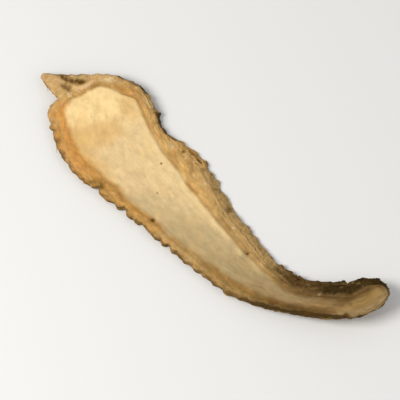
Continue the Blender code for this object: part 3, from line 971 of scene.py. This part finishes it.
def torn_fibres(tree, given):
    """Torn fibres that stand out of the rim, along the root."""
    at = places(tree, ("zone", "side"))
    on_rim = fade(at.share, 0.8, 0.95) * fade(at.down, 0.35, 0.1) * at.above
    where = on_rim * patches(at.rim, (3, 3, 9), 3, 0.52, 0.66)
    size = given["fibre_length"]
    bend = {end: vector_of(tree, x * size, 0, z * size) for end, (x, z) in FIBRE_BEND.items()}
    spine = add(tree, "GeometryNodeCurveQuadraticBezier", {"Resolution": FIBRE_STEPS, **bend})
    taper = fade(add(tree, "GeometryNodeSplineParameter", output="Factor"), 0.3, 1, 1, 0.25)
    tapered = add(tree, "GeometryNodeSetCurveRadius", {"Curve": spine, "Radius": taper})
    outline = {"Resolution": FIBRE_STEPS, "Radius": given["fibre_radius"]}
    ring = add(tree, "GeometryNodeCurvePrimitiveCircle", outline)
    drawn = {"Curve": tapered, "Profile Curve": ring, "Fill Caps": True}
    fibre = add(tree, "GeometryNodeCurveToMesh", drawn)
    return strewn(tree, given, given["fibre_density"] * where, fibre, tilt=0.22, smallest=0.3)


def bark_flakes(tree, given):
    """Small curled flakes that cover the bark."""
    at = places(tree, ("grain_place", "zone", "side"))
    on_bark = fade(at.down, 0.08, 0.2) * fade(at.down, 1, 0.85) * at.above
    worn = fade(at.along, 12, 16) * fade(at.along, 50, 42) * 0.65
    where = on_bark * fade(at.far, 0.2, 0.8, 0.35, 1) * (1 - worn)
    x, y, z = parts(add(tree, "GeometryNodeInputPosition"))
    narrow = worked("MULTIPLY_ADD", x * x, -2.2, 1)
    curl = 0.15 * x * x - 0.2 * y * y + 0.05 * x + z
    curled = scaled(vector_of(tree, x, y * narrow, curl), given["flake_size"])
    plate = add(tree, "GeometryNodeMeshCube", FLAKE)
    flake = add(tree, "GeometryNodeSetPosition", {"Geometry": plate, "Position": curled})
    return strewn(tree, given, given["flake_density"] * where, flake, tilt=0.16, smallest=0.3)


def rim_crumbs(tree, given):
    """Small grains strewn on the crumbling rim."""
    at = places(tree, ("zone", "side"))
    rim = fade(at.share, 0.5, 0.9) * fade(at.down, 0.6, 0.2) * at.above
    where = rim * patches(at.rim, (2, 2, 1.5), 6, 0.5, 0.65) * fade(at.far, 0.1, 0.8, 0.25, 1)
    ball = {"Radius": 0.5 * given["crumb_size"], "Subdivisions": CRUMB_ROUNDNESS}
    grain = add(tree, "GeometryNodeMeshIcoSphere", ball)
    position = add(tree, "GeometryNodeInputPosition")
    swell = clouds(scaled(position, 1.0 / MM), (0.25, 0.25, 0.25), 2)
    lumpy = vectors("MULTIPLY", scaled(position, fade(swell, 0.2, 0.8, 0.5, 1.5)), CRUMB_SHAPE)
    crumb = add(tree, "GeometryNodeSetPosition", {"Geometry": grain, "Position": lumpy})
    return strewn(tree, given, given["crumb_density"] * where, crumb, tilt=1.0, smallest=0.4)


def core_colour(at, colours):
    """The cream of the core, darker towards the tail and on its near side and lighter on its far side,
    partly as painted light and shade, and softly mottled.
    """
    along, across = at.along, at.across
    sway = 7 * (clouds(at.grain, (5, 3.5, 9), 39) - 0.5)
    # Painted light and shade: the core runs darker on its near side and lighter on its far side, which
    # faces the light
    side_shade = -1.5 * across + 0.8 * largest(-1 * across, 0)
    cream = ramp(along + side_shade * fade(along, 12, 22) + sway, colours, CORE_COLOURS)
    warm_band = line(along + sway, 5.5, 4.5) * fade(across, 5, 0)
    warm_side = line(along, 1, 5.5) * fade(across, 2.5, 5)
    cream = mix(largest(0.85 * warm_band, 0.75 * warm_side), cream, colours.core_warm)
    beside = 0.75 * fade(at.past_core, -4, -1) * at.near * fade(along, 0, 4) * fade(along, 18, 11)
    cream = mix(beside, cream, colours.core_warm)
    # Painted light: the far side of the core is paled towards the lip's colour where the light falls
    lit_far_side = fade(across, 1, 5) * fade(along, 8, 13) * fade(along, 48, 34)
    cream = mix(0.65 * lit_far_side, cream, colours.lip)
    cream = stained(cream, colours, at.grain, CORE_STAINS)
    grained = fade(along, 60, 30, 0.5, 1) * fade(along, -2, 16, 0.3, 1)
    cream = stained(cream, colours, at.grain, CORE_GRAIN, grained)
    # Painted shade: the core's last stretch is a tenth darker, against the light that its tilt catches
    cream = scaled(cream, fade(along, 68, 74, 1, 0.9))
    cream = mottled(cream, at.grain, CORE_MOTTLES)
    pores = dots(at.grain, (1.6, 1.1, 5), 53, 0.14) * patches(at.grain, (2.5, 2.5, 5), 59, 0.52, 0.62)
    cream = mix(0.3 * pores, cream, colours.cambium)
    lip = line(at.past_core, -0.7, 1.1) * patches(at.grain, (3, 3, 5), 61, 0.35, 0.6)
    return mix(0.55 * (lip * fade(at.far, 0.4, 1) * fade(along, 58, 46)), cream, colours.lip)


def cortex_colour(at, colours):
    """Orange to brown on the near side and ochre on the far one, mottled, with painted light and shade on
    its crumbs and far rim, and a dark broken margin of bark and painted shadow.
    """
    along, far, share = at.along, at.far, at.share
    place_here = along + 8 * (clouds(at.rim, (3.5, 3.5, 2.5), 63) - 0.5)
    near_side = ramp(place_here, colours, NEAR_CORTEX_COLOURS)
    tan = mix(far, near_side, ramp(place_here, colours, FAR_CORTEX_COLOURS))
    outer = share + 1.2 * clouds(at.rim, (2.5, 2.5, 1.8), 67, 3)
    tan = mix(fade(along, 14, 0, 0.2, 0.7) * fade(outer, 0.9, 1.6), tan, colours.pale_rim)
    tan = stained(tan, colours, at.rim, CORTEX_STAINS, 1 - fade(along, 46, 58))
    tan = mottled(mottled(tan, at.rim, CORTEX_MOTTLES), at.grain, CORTEX_FINE_MOTTLE)
    # Painted light and shade on the crumbling relief: darker where it sinks, lighter where it rises
    tan = scaled(tan, fade(at.crumbs, -0.2, 0.2, 0.9, 1.08))
    # Painted light: the outer far cortex along the middle is paled where its fall to the cut edge turns it
    # from the light
    painted_rim_light = fade(share, 0.4, 0.8) * fade(along, 21, 29) * fade(along, 54, 48)
    tan = mix(0.7 * far * painted_rim_light, tan, colours.pale_rim)
    # Painted shadow: the dark margin turns to the bark's colour and widens along the tail's near side,
    # where the slice's shadow falls
    shadowed_tail = fade(along, 50, 56) * fade(along, 74, 72)
    tan = mix(margin_and_painted_shadow(at, shadowed_tail), tan, mix(shadowed_tail, colours.tail_cortex, colours.bark))
    tan = mix(fade(along, -5.5, -8.5, 0, 0.2), tan, colours.ridge)
    broken = fade(clouds(at.grain, (1.2, 0.9, 1.2), 81, 3), 0.3, 0.7, 0.55, 0.95)
    return mix(broken * fade(at.ridge, 0.15, 1), tan, colours.ridge)


def margin_and_painted_shadow(at, shadowed_tail):
    """How dark the cortex's ragged margin is on the near side, the far one, the ear and the tip: bark and
    painted shadow on the sides, painted shadow at the ear and the tip.
    """
    along = at.along
    turn = worked("ARCTAN2", at.across, -1 * along)
    near_bark_and_shadow = 0.9 * fade(along, -2, 2, 0.3, 1) * fade(along, 74.8, 73.6, 0.1, 1) * at.near
    far_bark_and_shadow = 0.3 * at.far * fade(turn, 0.3, 0.8) * fade(along, 8, 3)
    ear_shadow = fade(turn, -0.1, -0.35) * fade(turn, -0.74, -0.64)
    tip_shadow = 0.8 * fade(along, 81, 83)
    ragged = 0.7 * clouds(at.rim, (1.6, 1.6, 1.2), 79, 4)
    # Painted shadow: the margin widens in the gap under the tail's near side
    tail_gap_shadow = 0.3 * fade(along, 61, 66) * fade(along, 74.8, 73.6)
    outermost = fade(at.share + ragged + 0.2 * shadowed_tail + tail_gap_shadow, 1.05, 1.45)
    return outermost * largest(ear_shadow, tip_shadow, near_bark_and_shadow, far_bark_and_shadow)


def bark_colour(at, colours):
    """Bark worn to tan along the middle of the far side, dark at its ends, and darker in its wrinkles."""
    sway = 8 * (clouds(at.rim, (2.5, 2.5, 2), 83) - 0.5)
    far_side = ramp(at.along + sway, colours, FAR_BARK_COLOURS)
    worn = clouds(at.rim, (2.6, 2.6, 1.4), 89, 4)
    bark = mix(at.far, mix(fade(worn, 0.45, 0.7), colours.tail_cortex, colours.worn_bark), far_side)
    height = worn + at.wrinkles
    bark = mix(fade(height, 0.45, 0.2, 0, 0.85), bark, colours.bark)
    bark = mix(fade(height, 0.6, 0.95, 0, 0.45), bark, colours.low_cortex)
    return mottled(mottled(bark, at.grain, BARK_MOTTLE), at.rim, BARK_WRINKLE_MOTTLE)


def cambium_strength(at):
    """How brown the line round the core is: strong round the head, weaker along either side."""
    along = at.along
    pale_top = 0.4 * line(at.across, 1.7, 1.8) * fade(along, -3, -4.2)
    head = 0.85 * at.open_side * fade(along, 0, -3) * (1 - pale_top)
    far_line = 0.55 * at.far * fade(along, 5, 9, 1, 0.6)
    near_line = 0.5 * at.near * fade(along, 10, 16)
    return largest(head, far_line, near_line) * fade(along, 66, 58)


def rim_colour(at, colours):
    """The cortex above the cut edge, and the bark below it."""
    return mix(fade(at.down, 0.08, 0.25), cortex_colour(at, colours), bark_colour(at, colours))


def core_edge(at):
    """The distance past the wavy line where the core's colour gives way to the cortex's."""
    along = at.along
    wander = 0.9 * (clouds(at.grain, (2, 1.3, 3), 97, 4) - 0.5)
    outer_stretch = 0.35 * fade(along, 16, 20) * fade(along, 38, 34)
    near_in = fade(along, 2, 8, -0.05, 0.5) - outer_stretch + hills(along, NEAR_EDGE_IN)
    side_in = near_in * at.near + hills(along, FAR_EDGE_IN) * at.far
    tail_share = 0.5 * at.near + fade(along, 60, 68, 0.8, 0.35) * at.far
    return at.past_core + wander + side_in * fade(along, 60, 50) + fade(along, 50, 60) * tail_share


def new_finish(name):
    """A matt material and its shader."""
    material = bpy.data.materials.new(name)
    material.use_nodes = True
    shader = material.node_tree.nodes["Principled BSDF"]
    set_inputs(shader, {"Specular IOR Level": MATT_SPECULAR})
    return material, shader


def raised(height, strength, distance):
    """The normal of a surface with fine bumps, as high as the distance in metres."""
    inputs = {"Height": height, "Strength": strength, "Distance": distance}
    return add(height.tree, "ShaderNodeBump", inputs)


def slice_finish(colours):
    """The procedural material of the whole slice."""
    material, shader = new_finish("dried_root")
    at = places(material.node_tree)
    grain, along, across = at.grain, at.along, at.across
    edge = core_edge(at)
    shade = mix(fade(edge, -0.9, 0.7), core_colour(at, colours), cortex_colour(at, colours))
    broken = fade(clouds(grain, (3, 2, 3), 101, 3), 0.35, 0.65, 0.3, 1)
    by_ridge = 0.3 * fade(across, 0, -1.5) * fade(across, -6, -4.5) * fade(along, -2, -4)
    cambium = line(edge + by_ridge, 0.5, 1) * broken * cambium_strength(at)
    shade = mix(cambium, shade, colours.cambium)
    ragged = 0.2 * clouds(at.rim, (1.2, 1.2, 1.2), 103, 3)
    down = at.down + 0.1 * fade(along, 54, 62) + ragged - 0.2 * at.near
    shade = mix(fade(down, 0.18, 0.42) * at.above, shade, bark_colour(at, colours))
    torn = clouds(grain, (0.8, 0.6, 0.8), 105, 3)
    # Dark spots and stains, with painted shadow on the ear and along the tail's near edge
    dark = fade(at.spots * fade(torn, 0.25, 0.75, 0.8, 1.2), 0.12, 0.9)
    # Painted shade: the drying cracks are darkened towards the spot's olive brown
    shade = mix(largest(dark, 0.3 * at.cracks), shade, colours.spot)
    # Pale specks, with painted highlights at the head's top, beside the ear's pit and on the tail
    pale = fade(at.specks * fade(torn, 0.2, 0.7, 1.4, 0.6), 0.12, 0.9)
    shade = mix(pale, shade, colours.speck)

    fine = clouds(grain, (0.9, 0.25, 0.3), 107, 4, 0.65)
    pores = clouds(grain, (0.26, 0.2, 0.2), 109, 3, 0.6)
    bumpy = fade(edge, -0.5, 0.6, 0.8, 1.5) * (0.5 * fine + 0.7 * pores)
    rough = fade(clouds(grain, (2, 0.8, 1), 113, 3), 0.3, 0.7, 0.7, 0.9)
    normal = raised(bumpy, strength=0.6, distance=0.0001)
    set_inputs(shader, {"Base Color": shade, "Normal": normal, "Roughness": rough})
    return material


def scrap_finish(name, colour_there, colours, roughness):
    """The procedural material of the small pieces: the colour of the place each grew from, toned."""
    material, shader = new_finish(name)
    tree = material.node_tree
    place_mm = scaled(add(tree, "ShaderNodeTexCoord", output="Object"), 1.0 / MM)
    own_tone = add(tree, "ShaderNodeAttribute", output="Fac", attribute_name="tone")
    tone = 0.7 * own_tone + 0.6 * clouds(place_mm, (0.4, 0.4, 0.4), 3, 3)
    shade = scaled(colour_there(places(tree), colours), fade(tone, 0.1, 1.2, 0.75, 1.2))
    normal = raised(clouds(place_mm, (0.12, 0.12, 0.12), 7, 3), strength=0.5, distance=0.00005)
    set_inputs(shader, {"Base Color": shade, "Normal": normal, "Roughness": roughness})
    return material


def make_scraps(context, name, fill, sizes, material):
    """Scraps that cling to the slice, all in one piece."""
    make_piece(context, name, bpy.data.objects["cut_slice"].data, fill, sizes, material)
    return {"FINISHED"}


class DONGQUAI_OT_slice(bpy.types.Operator):
    """Make the slice itself, in place of the frame's plain solid"""

    bl_idname = "dongquai.slice"
    bl_label = "Slice"

    def execute(self, context):
        mesh = slice_mesh(context.scene.root_form)
        sizes = ("grain_height", "check_depth", "streak_height", "wrinkle_height", "crumble_height")
        material = slice_finish(context.scene.root_colours)
        piece = make_piece(context, "cut_slice", mesh, weathered_slice, sizes, material)
        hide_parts(NODE)
        return {"FINISHED"}


class DONGQUAI_OT_fibres(bpy.types.Operator):
    """Let torn fibres stand out of the slice's rim"""

    bl_idname = "dongquai.fibres"
    bl_label = "Torn fibres"

    def execute(self, context):
        sizes = ("fibre_density", "fibre_length", "fibre_radius")
        colours = context.scene.root_colours
        finish = scrap_finish("torn_fibre", rim_colour, colours, roughness=0.8)
        return make_scraps(context, "torn_fibres", torn_fibres, sizes, finish)


class DONGQUAI_OT_flakes(bpy.types.Operator):
    """Cover the bark with small curled flakes"""

    bl_idname = "dongquai.flakes"
    bl_label = "Bark flakes"

    def execute(self, context):
        sizes = ("flake_density", "flake_size")
        colours = context.scene.root_colours
        finish = scrap_finish("bark_flake", bark_colour, colours, roughness=0.85)
        return make_scraps(context, "bark_flakes", bark_flakes, sizes, finish)


class DONGQUAI_OT_crumbs(bpy.types.Operator):
    """Strew small grains on the crumbling rim"""

    bl_idname = "dongquai.crumbs"
    bl_label = "Rim crumbs"

    def execute(self, context):
        sizes = ("crumb_density", "crumb_size")
        colours = context.scene.root_colours
        finish = scrap_finish("rim_crumb", rim_colour, colours, roughness=0.85)
        return make_scraps(context, "rim_crumbs", rim_crumbs, sizes, finish)


def stand(thing, azimuth, elevation, distance, target):
    """Stand a light or a camera on a bearing from a point, and turn it to the point."""
    back = Vector((
        math.sin(azimuth) * math.cos(elevation),
        -math.cos(azimuth) * math.cos(elevation),
        math.sin(elevation),
    ))
    thing.location = target + distance * back
    thing.rotation_mode = "QUATERNION"
    thing.rotation_quaternion = (-back).to_track_quat("-Z", "Y")


def add_lights(context, stage, target):
    """Square soft lights round the slice, turned to it, and an even surround."""
    for name, width, bearing, height, distance in LIGHTS:
        lamp = bpy.data.lights.new(name, "AREA")
        lamp.size = width
        lamp.energy = getattr(stage, name + "_power")
        lamp.color = WARM_WHITE
        light = bpy.data.objects.new(name, lamp)
        stand(light, stage.azimuth + math.radians(bearing), math.radians(height), distance, target)
        context.collection.objects.link(light)
    world = bpy.data.worlds.new("surround")
    world.use_nodes = True
    background = world.node_tree.nodes["Background"]
    set_inputs(background, {"Color": (1.0, 1.0, 1.0, 1.0), "Strength": stage.surround})
    context.scene.world = world


def add_camera(context, stage, target):
    """The camera, as far off as its frame's width asks for."""
    camera = bpy.data.objects.new("camera", bpy.data.cameras.new("camera"))
    camera.data.lens = stage.focal_length
    distance = stage.frame_width * stage.focal_length / camera.data.sensor_width
    stand(camera, stage.azimuth, stage.elevation, distance, target)
    camera.data.clip_start = NEAREST_SEEN
    context.collection.objects.link(camera)
    context.scene.camera = camera
    context.scene.view_settings.view_transform = "Standard"


class DONGQUAI_OT_stage(bpy.types.Operator):
    """Lay the floor and set up the lights and the camera"""

    bl_idname = "dongquai.stage"
    bl_label = "Stage"

    def execute(self, context):
        stage = context.scene.root_stage
        mesh = bpy.data.meshes.new("floor")
        corners = [(-1, -1), (1, -1), (1, 1), (-1, 1)]
        points = [(FLOOR_HALF * x, FLOOR_HALF * y, -FLOOR_DROP) for x, y in corners]
        mesh.from_pydata(points, [], [(0, 1, 2, 3)])
        material, shader = new_finish("pale_floor")
        set_inputs(shader, {"Base Color": (*stage.floor_colour, 1.0), "Roughness": FLOOR_ROUGHNESS})
        mesh.materials.append(material)
        floor = bpy.data.objects.new("floor", mesh)
        context.collection.objects.link(floor)
        target = (CAD_BOX[0] + CAD_BOX[1]) / 2
        add_lights(context, stage, target)
        add_camera(context, stage, target)
        return {"FINISHED"}


class DONGQUAI_PT_panel(bpy.types.Panel):
    """The slice's steps, sizes and colours"""

    bl_label = "Root slice"
    bl_space_type = "VIEW_3D"
    bl_region_type = "UI"
    bl_category = "Root slice"

    def draw(self, context):
        for operator in OPERATORS:
            self.layout.operator(operator.bl_idname)
        for name in SETTINGS:
            settings = getattr(context.scene, name)
            for key in settings.__annotations__:
                self.layout.prop(settings, key)


OPERATORS = [
    DONGQUAI_OT_slice, DONGQUAI_OT_fibres, DONGQUAI_OT_flakes, DONGQUAI_OT_crumbs, DONGQUAI_OT_stage,
]
SETTINGS = {"root_form": RootForm, "root_colours": RootColours, "root_stage": RootStage}


def register():
    """Add the settings, operators and panel."""
    for thing in (*SETTINGS.values(), *OPERATORS, DONGQUAI_PT_panel):
        bpy.utils.register_class(thing)
    for name, settings in SETTINGS.items():
        setattr(bpy.types.Scene, name, PointerProperty(type=settings))


def unregister():
    """Take the settings, operators and panel away."""
    for name in SETTINGS:
        delattr(bpy.types.Scene, name)
    for thing in (DONGQUAI_PT_panel, *reversed(OPERATORS), *SETTINGS.values()):
        bpy.utils.unregister_class(thing)


def main():
    """Make every piece in turn, and then the stage."""
    register()
    bpy.ops.dongquai.slice()
    bpy.ops.dongquai.fibres()
    bpy.ops.dongquai.flakes()
    bpy.ops.dongquai.crumbs()
    bpy.ops.dongquai.stage()


if __name__ == "__main__":
    main()
